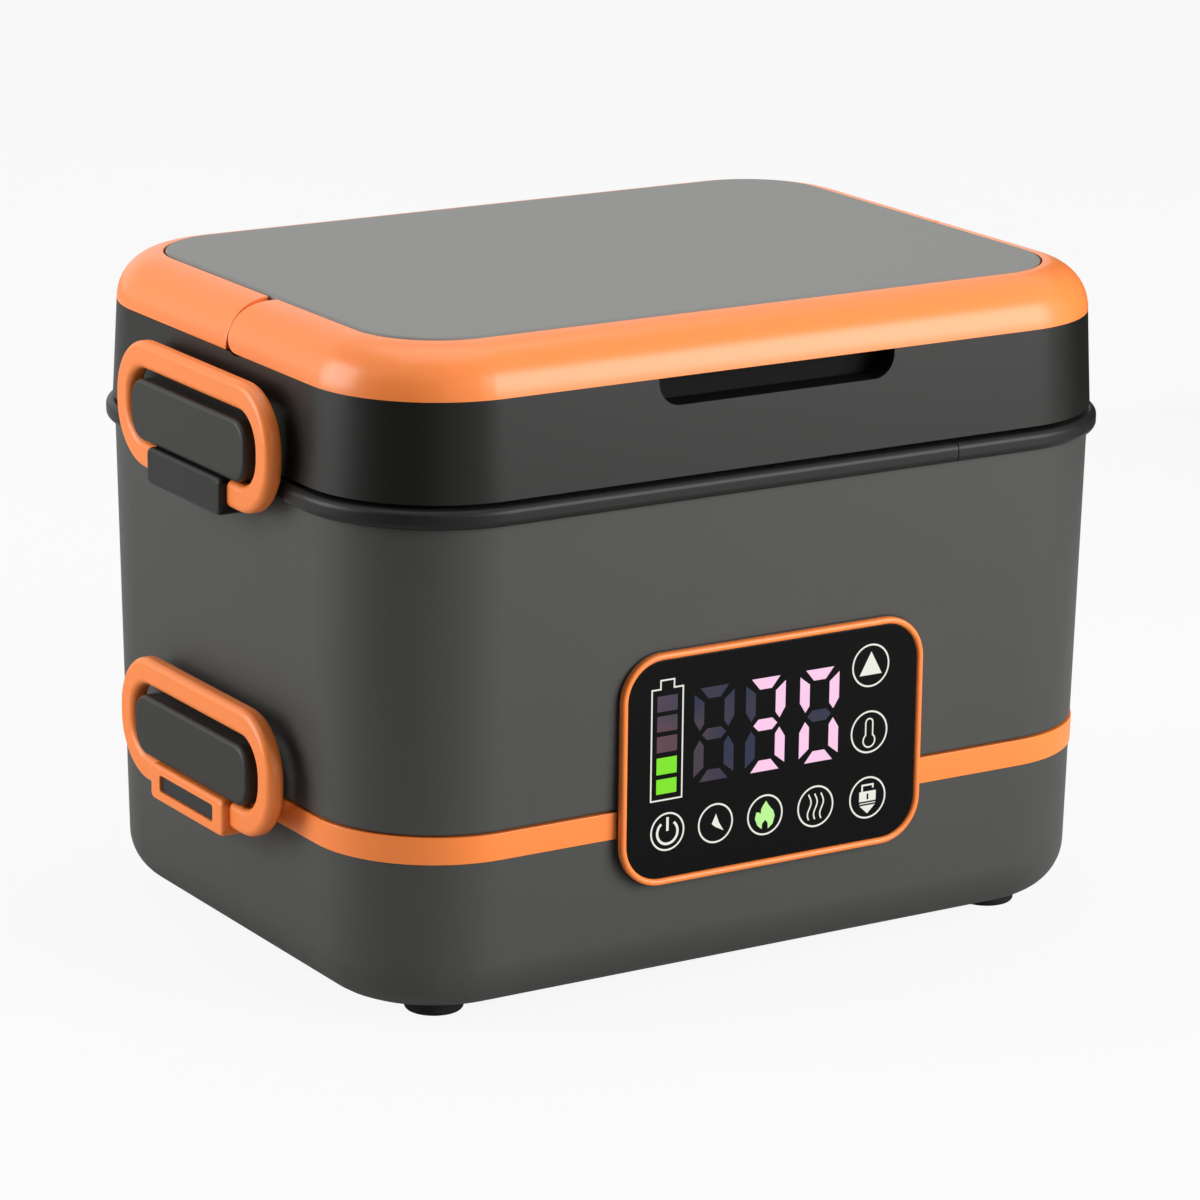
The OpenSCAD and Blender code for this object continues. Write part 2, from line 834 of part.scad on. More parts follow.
module lid_shell() {
    front = bl - lid_lean(z_skirt_top);
    color(dark) difference() {
        union() {
            difference() {
                lid_solid(0, z_lid);
                lid_solid(wall, z_lid - 1);
            }
            intersection() {
                lid_solid(0, z_lid);
                union() {
                    for (s = [-1, 1]) on_side(s)
                        translate([ear_x - 8, pivot_y - pocket_r - wall, z_skirt_top - 6])
                            cube([30, 2 * (pocket_r + wall), 30]);
                    translate([-recess_w / 2 - wall, -bl, z_skirt_top - recess_h - wall])
                        cube([recess_w + 2 * wall, recess_d + wall + 2, 30]);
                    four(lid_post_x, lid_post_y) translate([0, 0, lid_plate_z + 2 + gap])
                        cylinder(r = post_r, h = 40);
                }
            }
        }
        for (s = [-1, 1]) on_side(s) {
            rod_x(ear_x - gap, al + 5, pivot_y, pivot_z, pocket_r);
            rod_x(ear_x - pivot_in, al, pivot_y, pivot_z, pin_r);
        }
        translate([0, 0, z_skirt_top]) face_front() translate([0, 0, front - recess_d])
            linear_extrude(height = recess_d + 5) recess_outline(recess_w, recess_h, 6.5, 6);
        four(lid_post_x, lid_post_y) translate([0, 0, lid_plate_z])
            cylinder(r = pilot_r, h = screw_l + 2);
    }
}

module lid_liner() {
    inset = wall + lid_lean(lid_plate_z + 2) + gap;
    color("gainsboro") difference() {
        union() {
            plate(al - inset, bl - inset, rl - inset, lid_plate_z, lid_plate_z + 2);
            plate(pot_w / 2 - 4, pot_d / 2 - 4, pot_r - 4, lid_plate_z - plug_in - 1,
                  lid_plate_z + 1);
        }
        four(lid_post_x, lid_post_y) translate([0, 0, lid_plate_z - 1])
            cylinder(r = pass_r, h = 5);
        plate(pot_w / 2 - 6, pot_d / 2 - 6, pot_r - 6, lid_plate_z - plug_in - 2, lid_plate_z);
    }
}

module lid_seal() {
    out = seal_w / 2;
    color("whitesmoke") around(pot_w / 2 + out, pot_d / 2 + out, pot_r + out) {
        translate([-seal_w, pot_top + gap + seal_r])
            square([seal_w, lid_plate_z - pot_top - gap - seal_r]);
        translate([-seal_w / 2, pot_top + gap + seal_r]) circle(r = seal_r);
    }
}

module lid_foam() {
    color("wheat") plate(ear_x - lid_foam_in, bl + shoulder_u - lid_foam_in, lid_foam_r,
                         lid_plate_z + 2 + gap, deck_top - wall - gap);
}

module top_panel() {
    color(grey) soft_plate(al - panel_inset, bl - panel_inset, rl - panel_inset, deck_top,
                           z_top + panel_up, 1);
}

// Section of the coloured frame round the top: a quarter of a ring
module frame_section() {
    translate([shoulder_u, shoulder_z]) intersection() {
        difference() {
            circle(r = shoulder_r);
            circle(r = shoulder_r - skin);
        }
        translate([0, -0.2]) square([shoulder_r + 1, shoulder_r + 2]);
    }
}

module frame_ring() {
    around(al, bl, rl) frame_section();
}

// Side view of the handle's arm with its round end, across the whole box
module arm_space(z0 = z_skirt_top, z1 = z_top) {
    rotate([90, 0, 90]) translate([0, 0, -al - 1]) linear_extrude(height = 2 * al + 2) {
        translate([-bl - 1, z0]) square([bl + 1 + pivot_y, z1 - z0]);
        translate([pivot_y - 0.01, z0 + knuckle_r])
            square([knuckle_r + 0.01, z1 - z0 - 2 * knuckle_r]);
        for (z = [z0 + knuckle_r, z1 - knuckle_r])
            translate([pivot_y, z]) circle(r = knuckle_r);
    }
}

module handle() {
    color(orange) difference() {
        intersection() {
            union() {
                frame_ring();
                for (s = [-1, 1]) on_side(s) intersection() {
                    rod_x(ear_x + hub_in, al - 5, pivot_y, pivot_z, pocket_r - gap);
                    translate([ear_x, b, shoulder_z]) rotate([90, 0, 0])
                        cylinder(r = shoulder_r - 0.01, h = 2 * b);
                }
            }
            arm_space();
        }
        for (s = [-1, 1]) on_side(s)
            rod_x(ear_x - 1, ear_x + pivot_out + 0.4, pivot_y, pivot_z, pin_r + run);
    }
}

module rear_trim() {
    color(orange) difference() {
        frame_ring();
        translate([-al - 1, -bl - 1, z_skirt_top - 1])
            cube([2 * al + 2, bl + 1 + handle_end + 0.4, shoulder_r + 3]);
    }
}

module handle_pivots() {
    color(steel) for (s = [-1, 1]) on_side(s)
        rod_x(ear_x - pivot_in + 0.2, ear_x + pivot_out, pivot_y, pivot_z, pin_r);
}

module lid_screws() {
    color(steel) four(lid_post_x, lid_post_y) screw_up(lid_plate_z, screw_l);
}

base_shell();
base_band();
base_deck();
feet();
base_screws();
battery_cells();
cell_holder();
battery_straps();
charge_board();
charge_inlet();
contact_block();
bracket_lower(-1);  // bracket_lower_left
bracket_lower(1);  // bracket_lower_right
bracket_inlays();
body_shell();
rim_ring();
pot_collar();
food_pot();
heating_plate();
heater_pads();
thermostat();
inner_liner();
insulation();
display_housing();
glass_panel();
panel_bezel();
control_board();
contact_pins();
pin_block();
boss_lower(-1);  // boss_lower_left
boss_lower(1);  // boss_lower_right
bracket_upper(-1);  // bracket_upper_left
bracket_upper(1);  // bracket_upper_right
body_screws();
lid_shell();
lid_liner();
lid_seal();
lid_foam();
top_panel();
rear_trim();
boss_upper(-1);  // boss_upper_left
boss_upper(1);  // boss_upper_right
handle_pivots();
lid_screws();
handle();
loop_upper(-1);  // loop_upper_left
pin_upper(-1);  // pin_upper_left
loop_upper(1);  // loop_upper_right
pin_upper(1);  // pin_upper_right
loop_lower(-1);  // loop_lower_left
pin_lower(-1);  // pin_lower_left
loop_lower(1);  // loop_lower_right
pin_lower(1);  // pin_lower_right
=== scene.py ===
import math

import bpy
from mathutils import Matrix, Vector


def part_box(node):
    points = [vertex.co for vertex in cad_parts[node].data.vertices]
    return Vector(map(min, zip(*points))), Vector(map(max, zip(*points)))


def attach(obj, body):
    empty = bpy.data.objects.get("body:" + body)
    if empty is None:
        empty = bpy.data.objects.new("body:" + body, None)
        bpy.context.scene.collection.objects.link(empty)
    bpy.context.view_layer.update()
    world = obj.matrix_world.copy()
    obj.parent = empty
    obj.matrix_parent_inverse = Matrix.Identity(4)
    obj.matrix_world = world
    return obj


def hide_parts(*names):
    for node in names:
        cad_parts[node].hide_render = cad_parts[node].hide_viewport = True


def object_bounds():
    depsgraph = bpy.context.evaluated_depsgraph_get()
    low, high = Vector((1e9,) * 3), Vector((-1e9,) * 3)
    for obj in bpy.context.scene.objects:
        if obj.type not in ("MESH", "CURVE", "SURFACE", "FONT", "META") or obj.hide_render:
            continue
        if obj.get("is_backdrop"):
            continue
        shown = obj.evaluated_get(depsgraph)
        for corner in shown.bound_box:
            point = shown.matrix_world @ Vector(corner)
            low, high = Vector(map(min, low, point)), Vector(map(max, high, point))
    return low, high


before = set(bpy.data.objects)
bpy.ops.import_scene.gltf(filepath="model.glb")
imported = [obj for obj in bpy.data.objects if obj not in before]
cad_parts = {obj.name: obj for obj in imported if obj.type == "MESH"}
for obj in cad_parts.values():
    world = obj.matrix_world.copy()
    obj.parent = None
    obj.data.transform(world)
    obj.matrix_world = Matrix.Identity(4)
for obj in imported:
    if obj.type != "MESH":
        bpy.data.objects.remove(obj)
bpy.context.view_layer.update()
MM = 0.001  # metres in a millimetre

# ---------------------------------------------------------------- base shell
# The battery base: a deep tray moulded in dark plastic, its walls leaning out a
# little as they rise and its bottom edge well rounded. Its face is a fine,
# dull spark texture straight from the mould.


def select_only(piece):
    bpy.ops.object.select_all(action='DESELECT')
    piece.select_set(True)
    bpy.context.view_layer.objects.active = piece


SAME_POINT = 1e-6  # metres: points nearer than this are one
SAME_PLANE = 0.003  # radians: faces that differ by less are one
MOULD_EDGE = math.radians(50)  # edges sharper than this get rounded
SMOOTH_UNDER = math.radians(32)  # edges blunter than this are shaded smooth


def finish_piece(piece, node, body, material):
    """Smooth shading with sharp edges kept, then the material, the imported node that
    the piece stands for and the body that it moves with."""
    select_only(piece)
    bpy.ops.object.shade_smooth_by_angle(angle=SMOOTH_UNDER)
    shading = piece.modifiers.new("shading", 'WEIGHTED_NORMAL')
    shading.mode = 'FACE_AREA'
    shading.keep_sharp = True
    bpy.ops.object.modifier_apply(modifier=shading.name)
    piece.data.materials.clear()
    piece.data.materials.append(material)
    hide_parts(node)
    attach(piece, body)
    return piece


def moulded(node, body, material, edge=0.25 * MM, steps=2):
    """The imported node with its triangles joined, its sharp edges rounded as a
    mould leaves them, and its own material."""
    piece = bpy.data.objects.new(node + "_moulded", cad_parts[node].data.copy())
    bpy.context.scene.collection.objects.link(piece)
    select_only(piece)
    bpy.ops.mesh.customdata_custom_splitnormals_clear()
    bpy.ops.object.mode_set(mode='EDIT')
    bpy.ops.mesh.select_all(action='SELECT')
    bpy.ops.mesh.remove_doubles(threshold=SAME_POINT)
    bpy.ops.mesh.dissolve_limited(angle_limit=SAME_PLANE)
    bpy.ops.object.mode_set(mode='OBJECT')
    if edge:
        rounding = piece.modifiers.new("edge", 'BEVEL')
        rounding.width = edge
        rounding.segments = steps
        rounding.limit_method = 'ANGLE'
        rounding.angle_limit = MOULD_EDGE
        rounding.use_clamp_overlap = True
        bpy.ops.object.modifier_apply(modifier=rounding.name)
    return finish_piece(piece, node, body, material)


def linear(colour):
    """A colour of 0 to 255 a channel, as a screen shows it, in linear light."""
    return tuple(
        c / 12.92 if c <= 0.04045 else ((c + 0.055) / 1.055) ** 2.4
        for c in (value / 255 for value in colour)
    )


def start_group(name, inputs, outputs):
    """An empty shader group with its sockets, each (name, kind, default)."""
    group = bpy.data.node_groups.new(name, 'ShaderNodeTree')
    for label, kind, default in inputs:
        socket = group.interface.new_socket(label, in_out='INPUT', socket_type=kind)
        if default is not None:
            socket.default_value = default
    for label, kind in outputs:
        group.interface.new_socket(label, in_out='OUTPUT', socket_type=kind)
    return (group, group.nodes.new('NodeGroupInput'), group.nodes.new('NodeGroupOutput'))


def math_node(nodes, operation, *values):
    node = nodes.new('ShaderNodeMath')
    node.operation = operation
    for socket, value in zip(node.inputs, values):
        if value is not None:
            socket.default_value = value
    return node


# Mould texture: fine pits over slow waves, and a faint unevenness of tone and gloss
texture_group, texture_in, texture_out = start_group(
    "mould_texture",
    [("Place", 'NodeSocketVector', None), ("Colour", 'NodeSocketColor', (0.1, 0.1, 0.1, 1)),
     ("Roughness", 'NodeSocketFloat', 0.5), ("Pits", 'NodeSocketFloat', 1800.0),
     ("Unevenness", 'NodeSocketFloat', 0.06)],
    [("Colour", 'NodeSocketColor'), ("Roughness", 'NodeSocketFloat'),
     ("Height", 'NodeSocketFloat')])
nodes, links = texture_group.nodes, texture_group.links
pits = nodes.new('ShaderNodeTexNoise')
pits.inputs["Detail"].default_value = 3.0
waves = nodes.new('ShaderNodeTexNoise')
waves.inputs["Scale"].default_value = 28.0
waves.inputs["Detail"].default_value = 4.0
links.new(texture_in.outputs["Place"], pits.inputs["Vector"])
links.new(texture_in.outputs["Pits"], pits.inputs["Scale"])
links.new(texture_in.outputs["Place"], waves.inputs["Vector"])
centred = math_node(nodes, 'SUBTRACT', None, 0.5)
links.new(waves.outputs["Fac"], centred.inputs[0])
swing = math_node(nodes, 'MULTIPLY')
links.new(centred.outputs[0], swing.inputs[0])
links.new(texture_in.outputs["Unevenness"], swing.inputs[1])
gain = math_node(nodes, 'ADD', None, 1.0)
links.new(swing.outputs[0], gain.inputs[0])
tone = nodes.new('ShaderNodeVectorMath')
tone.operation = 'SCALE'
links.new(texture_in.outputs["Colour"], tone.inputs[0])
links.new(gain.outputs[0], tone.inputs["Scale"])
links.new(tone.outputs[0], texture_out.inputs["Colour"])
gloss = math_node(nodes, 'ADD')
links.new(texture_in.outputs["Roughness"], gloss.inputs[0])
links.new(swing.outputs[0], gloss.inputs[1])
links.new(gloss.outputs[0], texture_out.inputs["Roughness"])
links.new(pits.outputs["Fac"], texture_out.inputs["Height"])


def plastic(name, colour, roughness, specular=0.5, pits=1800.0, depth=0.02,
            unevenness=0.06):
    """Moulded plastic: its colour and gloss through the mould texture, its pits as
    a bump whose depth is in millimetres."""
    material = bpy.data.materials.new(name)
    material.use_nodes = True
    nodes, links = material.node_tree.nodes, material.node_tree.links
    shader = nodes["Principled BSDF"]
    shader.inputs["Specular IOR Level"].default_value = specular
    place = nodes.new('ShaderNodeTexCoord')
    texture = nodes.new('ShaderNodeGroup')
    texture.node_tree = texture_group
    texture.inputs["Colour"].default_value = (*linear(colour), 1)
    texture.inputs["Roughness"].default_value = roughness
    texture.inputs["Pits"].default_value = pits
    texture.inputs["Unevenness"].default_value = unevenness
    bump = nodes.new('ShaderNodeBump')
    bump.inputs["Distance"].default_value = depth * MM
    links.new(place.outputs["Object"], texture.inputs["Place"])
    links.new(texture.outputs["Colour"], shader.inputs["Base Color"])
    links.new(texture.outputs["Roughness"], shader.inputs["Roughness"])
    links.new(texture.outputs["Height"], bump.inputs["Height"])
    links.new(bump.outputs["Normal"], shader.inputs["Normal"])
    return material


charcoal = plastic("charcoal_plastic", (68, 69, 66), 0.46, specular=0.28)
moulded("base_shell", "base", charcoal)

# ---------------------------------------------------------------- base band
# A frame of bright orange plastic round the base's rim. It snaps over the tray
# and closes it, and its lip locates the body on top.

orange = plastic("orange_plastic", (255, 138, 61), 0.36, specular=0.45, pits=2400.0,
                 depth=0.008, unevenness=0.04)
moulded("base_band", "base", orange, edge=0.3 * MM)

# ---------------------------------------------------------------- feet
# Four round rubber feet with a rounded rim, their stems pushed through the floor
# of the base from below.


def rubber_like(name, colour, roughness):
    return plastic(name, colour, roughness, specular=0.25, pits=1200.0, depth=0.05,
                   unevenness=0.12)


rubber = rubber_like("black_rubber", (26, 26, 27), 0.75)
moulded("feet", "base", rubber, edge=0)

# ---------------------------------------------------------------- inside the base
# A black deck closes the tray, with the contact block on it. Under it are two
# rows of sleeved cells in a cradle, joined by nickel straps, a charging board on
# short posts and the round charging socket in the back wall.

black = plastic("black_plastic", (28, 28, 29), 0.55, specular=0.25)
moulded("base_deck", "base", black)
moulded("contact_block", "base", black)
moulded("charge_inlet", "base", black)


def dress(material, *node_names):
    """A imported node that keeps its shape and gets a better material."""
    for name in node_names:
        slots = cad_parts[name].data.materials
        for index in range(len(slots)):
            slots[index] = material


STREAK_GLOSS, STREAK_TONE = 0.08, 0.86  # how far a streak's gloss and tone go


def brushed_metal(name, colour, roughness, stretch=(4.0, 260.0, 260.0), depth=0.004):
    """Drawn or brushed metal: fine streaks along one direction."""
    material = bpy.data.materials.new(name)
    material.use_nodes = True
    nodes, links = material.node_tree.nodes, material.node_tree.links
    shader = nodes["Principled BSDF"]
    shader.inputs["Metallic"].default_value = 1.0
    place = nodes.new('ShaderNodeTexCoord')
    along = nodes.new('ShaderNodeMapping')
    along.inputs["Scale"].default_value = stretch
    streaks = nodes.new('ShaderNodeTexNoise')
    streaks.inputs["Scale"].default_value = 8.0
    streaks.inputs["Detail"].default_value = 6.0
    shade = nodes.new('ShaderNodeMapRange')
    shade.inputs["To Min"].default_value = roughness - STREAK_GLOSS
    shade.inputs["To Max"].default_value = roughness + STREAK_GLOSS
    tint = nodes.new('ShaderNodeMix')
    tint.data_type = 'RGBA'
    tint.inputs["A"].default_value = (*linear(colour), 1)
    tint.inputs["B"].default_value = (*(STREAK_TONE * c for c in linear(colour)), 1)
    bump = nodes.new('ShaderNodeBump')
    bump.inputs["Distance"].default_value = depth * MM
    links.new(place.outputs["Object"], along.inputs["Vector"])
    links.new(along.outputs["Vector"], streaks.inputs["Vector"])
    links.new(streaks.outputs["Fac"], shade.inputs["Value"])
    links.new(shade.outputs["Result"], shader.inputs["Roughness"])
    links.new(streaks.outputs["Fac"], tint.inputs["Factor"])
    links.new(tint.outputs["Result"], shader.inputs["Base Color"])
    links.new(streaks.outputs["Fac"], bump.inputs["Height"])
    links.new(bump.outputs["Normal"], shader.inputs["Normal"])
    return material


steel = brushed_metal("stainless_steel", (205, 205, 207), 0.26)
pin_steel = brushed_metal("pin_steel", (196, 197, 200), 0.22, stretch=(260.0, 4.0, 260.0))
sleeve = plastic("cell_sleeve", (44, 120, 84), 0.3, specular=0.5, pits=400.0, depth=0.004)
board = plastic("board_green", (18, 74, 44), 0.4, specular=0.5, pits=600.0, depth=0.01,
                unevenness=0.3)
dress(sleeve, "battery_cells")
dress(black, "cell_holder")
dress(steel, "battery_straps")
dress(board, "charge_board")
dress(pin_steel, "base_screws")

# ---------------------------------------------------------------- lower brackets
# Two orange blocks on the base's side walls carry the pins of the lower latch
# loops. A black inlay sits in a slot along each one's face.

moulded("bracket_lower_left", "base", orange)
moulded("bracket_lower_right", "base", orange)
inlay_black = plastic("inlay_black", (38, 38, 41), 0.4, specular=0.25)
moulded("bracket_inlays", "base", inlay_black, edge=0.15 * MM)

# ---------------------------------------------------------------- body shell
# The heated body: a dark plastic box in line with the base, open at the top, with
# an opening in its front for the display. Its lower edge stands on the band.

moulded("body_shell", "body", charcoal, edge=0.5 * MM, steps=3)

# ---------------------------------------------------------------- rim ring
# A darker rounded bead round the body's rim, one strip bent round with its ends
# butted together on the front, and cut away at the sides for the latches.

bead = plastic("bead_plastic", (30, 31, 29), 0.38, specular=0.2)
moulded("rim_ring", "body", bead, edge=0.2 * MM)

# ---------------------------------------------------------------- food pot
# A deep-drawn stainless pot with a turned-out flange, hung in a black collar.
# Below it are an aluminium plate with two heater pads and a thermostat, and round
# it are a pale liner and foam.

moulded("pot_collar", "body", black)
moulded("food_pot", "body", steel, edge=0.2 * MM)
cast = brushed_metal("cast_aluminium", (190, 191, 193), 0.42, stretch=(60.0, 60.0, 60.0))
pad_film = plastic("heater_film", (176, 122, 44), 0.35, pits=300.0, depth=0.01)
liner_plastic = plastic("liner_plastic", (222, 222, 219), 0.45)
foam = plastic("cream_foam", (226, 214, 184), 0.9, specular=0.1, pits=900.0, depth=0.4,
               unevenness=0.15)
brass = brushed_metal("brass", (214, 178, 98), 0.25, stretch=(260.0, 260.0, 4.0))
dress(cast, "heating_plate")
dress(pad_film, "heater_pads")
dress(black, "thermostat", "pin_block")
dress(liner_plastic, "inner_liner")
dress(foam, "insulation")
dress(brass, "contact_pins")
dress(board, "control_board")
dress(pin_steel, "body_screws")

# ---------------------------------------------------------------- display
# A touch display on the front, low on the body and over the band: a black tray with a
# black flange ring round the bezel that paints the fine dark line of shade where the bezel
# meets the wall, a black glass in a slim half-round orange bezel, and lit marks just on
# the glass. Keys are touch fields, each a ring with its sign.

bezel_low, bezel_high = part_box("panel_bezel")
panel_middle = (bezel_low + bezel_high) / 2
wall = bezel_high.y  # where the display stands on the body's front
# Sizes in millimetres: proud is before the wall, under is below the bezel's crest
BEZEL_HALF, BEZEL_RADIUS, BEZEL_WIDTH, BEZEL_PROUD = (48.0, 32.0), 12.5, 1.8, 2.2
BEZEL_ROUND, GLASS_ROUND, FLANGE_ROUND = 0.86, 0.3, 0.1
FLANGE_SHOWS, FLANGE_PROUD = 0.35, 0.3
TRAY_PROUD, GLASS_FIT, GLASS_UNDER = 0.2, 0.05, 0.8
GLASS_PROUD = BEZEL_PROUD - GLASS_UNDER
CORNER_STEPS = 20


def rounded_plate(name, grow, back, front, rounding, steps, width=None):
    """A rounded rectangle that is this much larger than the bezel's outline, between
    two depths before the wall, its front rim rounded; a frame if it has a width."""
    bpy.ops.object.select_all(action='DESELECT')
    bpy.ops.mesh.primitive_plane_add(size=2, rotation=(math.pi / 2, 0, 0),
                                     location=(panel_middle.x, wall - back * MM,
                                               panel_middle.z))
    piece = bpy.context.object
    piece.name = name
    piece.scale = (*((half + grow) * MM for half in BEZEL_HALF), 1)
    bpy.ops.object.transform_apply(location=True, rotation=True, scale=True)
    bpy.ops.object.mode_set(mode='EDIT')
    bpy.ops.mesh.select_mode(type='EDGE')
    bpy.ops.mesh.select_all(action='SELECT')
    bpy.ops.mesh.bevel(offset=(BEZEL_RADIUS + grow) * MM, segments=CORNER_STEPS,
                       affect='VERTICES')
    if width:
        bpy.ops.mesh.select_all(action='SELECT')
        bpy.ops.mesh.inset(thickness=width * MM)
        bpy.ops.mesh.delete(type='FACE')
    bpy.ops.mesh.select_all(action='SELECT')
    bpy.ops.mesh.extrude_region_move(
        TRANSFORM_OT_translate={"value": (0, (back - front) * MM, 0)})
    bpy.ops.mesh.select_all(action='SELECT')
    bpy.ops.mesh.normals_make_consistent(inside=False)
    bpy.ops.mesh.select_all(action='DESELECT')
    bpy.ops.object.mode_set(mode='OBJECT')
    points = piece.data.vertices
    rims = {key for side in piece.data.polygons if abs(side.normal.y) < 0.5
            for key in side.edge_keys}
    face = wall - front * MM
    for line in piece.data.edges:
        line.select = line.key in rims and all(
            abs(points[i].co.y - face) < SAME_POINT for i in line.vertices)
    bpy.ops.object.mode_set(mode='EDIT')
    bpy.ops.mesh.bevel(offset=rounding * MM, segments=steps, affect='EDGES')
    bpy.ops.object.mode_set(mode='OBJECT')
    return piece


tray = moulded("display_housing", "body", black, edge=0)
for vertex in tray.data.vertices:
    if vertex.co.y < wall - TRAY_PROUD * MM:
        vertex.co.y = wall - TRAY_PROUD * MM
# A black ring 0.35 mm wide round the bezel: painted shade, the dark line where the bezel
# meets the wall
flange = rounded_plate("flange", FLANGE_SHOWS, 0, FLANGE_PROUD, FLANGE_ROUND, 2,
                       width=FLANGE_SHOWS + BEZEL_WIDTH / 2)
flange.data.materials.append(black)
select_only(tray)
flange.select_set(True)
bpy.ops.object.join()

glass_black = plastic("display_glass", (12, 12, 13), 0.2, specular=0.09, pits=60.0,
                      depth=0.0, unevenness=0.02)
finish_piece(rounded_plate("glass_panel_moulded", -BEZEL_WIDTH - GLASS_FIT, TRAY_PROUD,
                           GLASS_PROUD, GLASS_ROUND, 3),
             "glass_panel", "body", glass_black)
finish_piece(rounded_plate("panel_bezel_moulded", 0, FLANGE_PROUD, BEZEL_PROUD, BEZEL_ROUND,
                           6, width=BEZEL_WIDTH),
             "panel_bezel", "body", orange)

glass_face = wall - GLASS_PROUD * MM
MARK_IN, MARK_OUT = 0.15, 0.04  # millimetres behind and before the glass's face
MARKS_RIGHT = 0.6  # millimetres from the display's middle to that of the marks
CLOUD_TONE = 0.93  # how dark a lit field's clouds go


def on_glass(x, z, out):
    """A point of the display, in millimetres from the middle of its marks."""
    return Vector(((x + MARKS_RIGHT) * MM, glass_face - out * MM, panel_middle.z + z * MM))


def lit(name, colour):
    """A field that shines with its own colour."""
    material = bpy.data.materials.new(name)
    material.use_nodes = True
    shader = material.node_tree.nodes["Principled BSDF"]
    shader.inputs["Base Color"].default_value = (0.01, 0.01, 0.01, 1)
    shader.inputs["Roughness"].default_value = 0.4
    shader.inputs["Specular IOR Level"].default_value = 0.1
    nodes, links = material.node_tree.nodes, material.node_tree.links
    place = nodes.new('ShaderNodeTexCoord')
    cloud = nodes.new('ShaderNodeTexNoise')
    cloud.inputs["Scale"].default_value = 90.0
    blend = nodes.new('ShaderNodeMix')
    blend.data_type = 'RGBA'
    blend.inputs["A"].default_value = (*linear(colour), 1)
    blend.inputs["B"].default_value = (*(CLOUD_TONE * c for c in linear(colour)), 1)
    links.new(place.outputs["Object"], cloud.inputs["Vector"])
    links.new(cloud.outputs["Fac"], blend.inputs["Factor"])
    links.new(blend.outputs["Result"], shader.inputs["Emission Color"])
    shader.inputs["Emission Strength"].default_value = 1.0
    return material


def unlit(name, one, other):
    """A dark field that shows faintly through the glass, in two drifting tones."""
    material = lit(name, one)
    nodes = material.node_tree.nodes
    blend = next(n for n in nodes if n.type == 'MIX')
    blend.inputs["B"].default_value = (*linear(other), 1)
    cloud = next(n for n in nodes if n.type == 'TEX_NOISE')
    cloud.inputs["Scale"].default_value = 70.0
    cloud.inputs["Detail"].default_value = 0.0
    spread = nodes.new('ShaderNodeMapRange')
    spread.inputs["From Min"].default_value = 0.35
    spread.inputs["From Max"].default_value = 0.65
    links = material.node_tree.links
    links.new(cloud.outputs["Fac"], spread.inputs["Value"])
    links.new(spread.outputs["Result"], blend.inputs["Factor"])
    return material


def thicken(piece):
    """Gives a flat mark its small depth through the glass's face."""
    select_only(piece)
    bpy.ops.object.mode_set(mode='EDIT')
    bpy.ops.mesh.select_all(action='SELECT')
    bpy.ops.mesh.remove_doubles(threshold=1e-7)
    bpy.ops.mesh.extrude_region_move(
        TRANSFORM_OT_translate={"value": (0, -(MARK_IN + MARK_OUT) * MM, 0)})
    bpy.ops.mesh.select_all(action='SELECT')
    bpy.ops.mesh.normals_make_consistent(inside=False)
    bpy.ops.object.mode_set(mode='OBJECT')
    return piece


def field(points):
    """A filled mark with this outline."""
    bpy.ops.object.select_all(action='DESELECT')
    bpy.ops.mesh.primitive_circle_add(vertices=len(points), fill_type='NGON')
    piece = bpy.context.object
    for vertex, (x, z) in zip(piece.data.vertices, points):
        vertex.co = on_glass(x, z, -MARK_IN)
    return thicken(piece)


def stroke(points, width, closed=False):
    """A line mark of this width along the points."""
    count = len(points)
    path = [Vector(p) for p in points]
    sides = []
    for i, here in enumerate(path):
        before = path[i - 1] if i or closed else None
        after = path[(i + 1) % count] if i < count - 1 or closed else None
        first = (here - before).normalized() if before is not None else None
        last = (after - here).normalized() if after is not None else None
        first, last = first or last, last or first
        middle = (first + last).normalized()
        reach = width / 2 / max(0.4, middle.dot(first))
        sides.append(Vector((-middle.y, middle.x)) * reach)
    order = list(range(count)) + ([0] if closed else [])
    bpy.ops.object.select_all(action='DESELECT')
    bpy.ops.mesh.primitive_grid_add(x_subdivisions=len(order) - 1, y_subdivisions=1)
    piece = bpy.context.object
    for row, sign in ((0, 1), (1, -1)):
        for column, i in enumerate(order):
            x, z = path[i] + sides[i] * sign
            piece.data.vertices[row * len(order) + column].co = on_glass(x, z, -MARK_IN)
    return thicken(piece)


def ring(x, z, radius, width):
    """The ring round a key."""
    bpy.ops.object.select_all(action='DESELECT')
    bpy.ops.mesh.primitive_torus_add(
        major_segments=72, minor_segments=8, major_radius=radius * MM,
        minor_radius=width / 2 * MM, location=on_glass(x, z, 0), rotation=(math.pi / 2, 0, 0))
    piece = bpy.context.object
    bpy.ops.object.transform_apply(location=False, rotation=True, scale=True)
    bpy.ops.object.transform_apply(location=True, rotation=False, scale=False)
    for vertex in piece.data.vertices:
        vertex.co.y = glass_face + (vertex.co.y - glass_face) * 2 * MARK_OUT / width
    return piece


def arc(x, z, radius, start, end, steps=32):
    """Points of an arc, its angles in degrees from straight up, clockwise."""
    turn = [math.radians(start + (end - start) * i / steps) for i in range(steps + 1)]
    return [(x + radius * math.sin(t), z + radius * math.cos(t)) for t in turn]


def printed(name, pieces, material):
    """Marks of one colour joined into one piece on the glass."""
    select_only(pieces[0])
    for piece in pieces:
        piece.select_set(True)
    bpy.ops.object.join()
    piece = pieces[0]
    piece.name = name
    piece.data.materials.clear()
    piece.data.materials.append(material)
    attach(piece, "body")


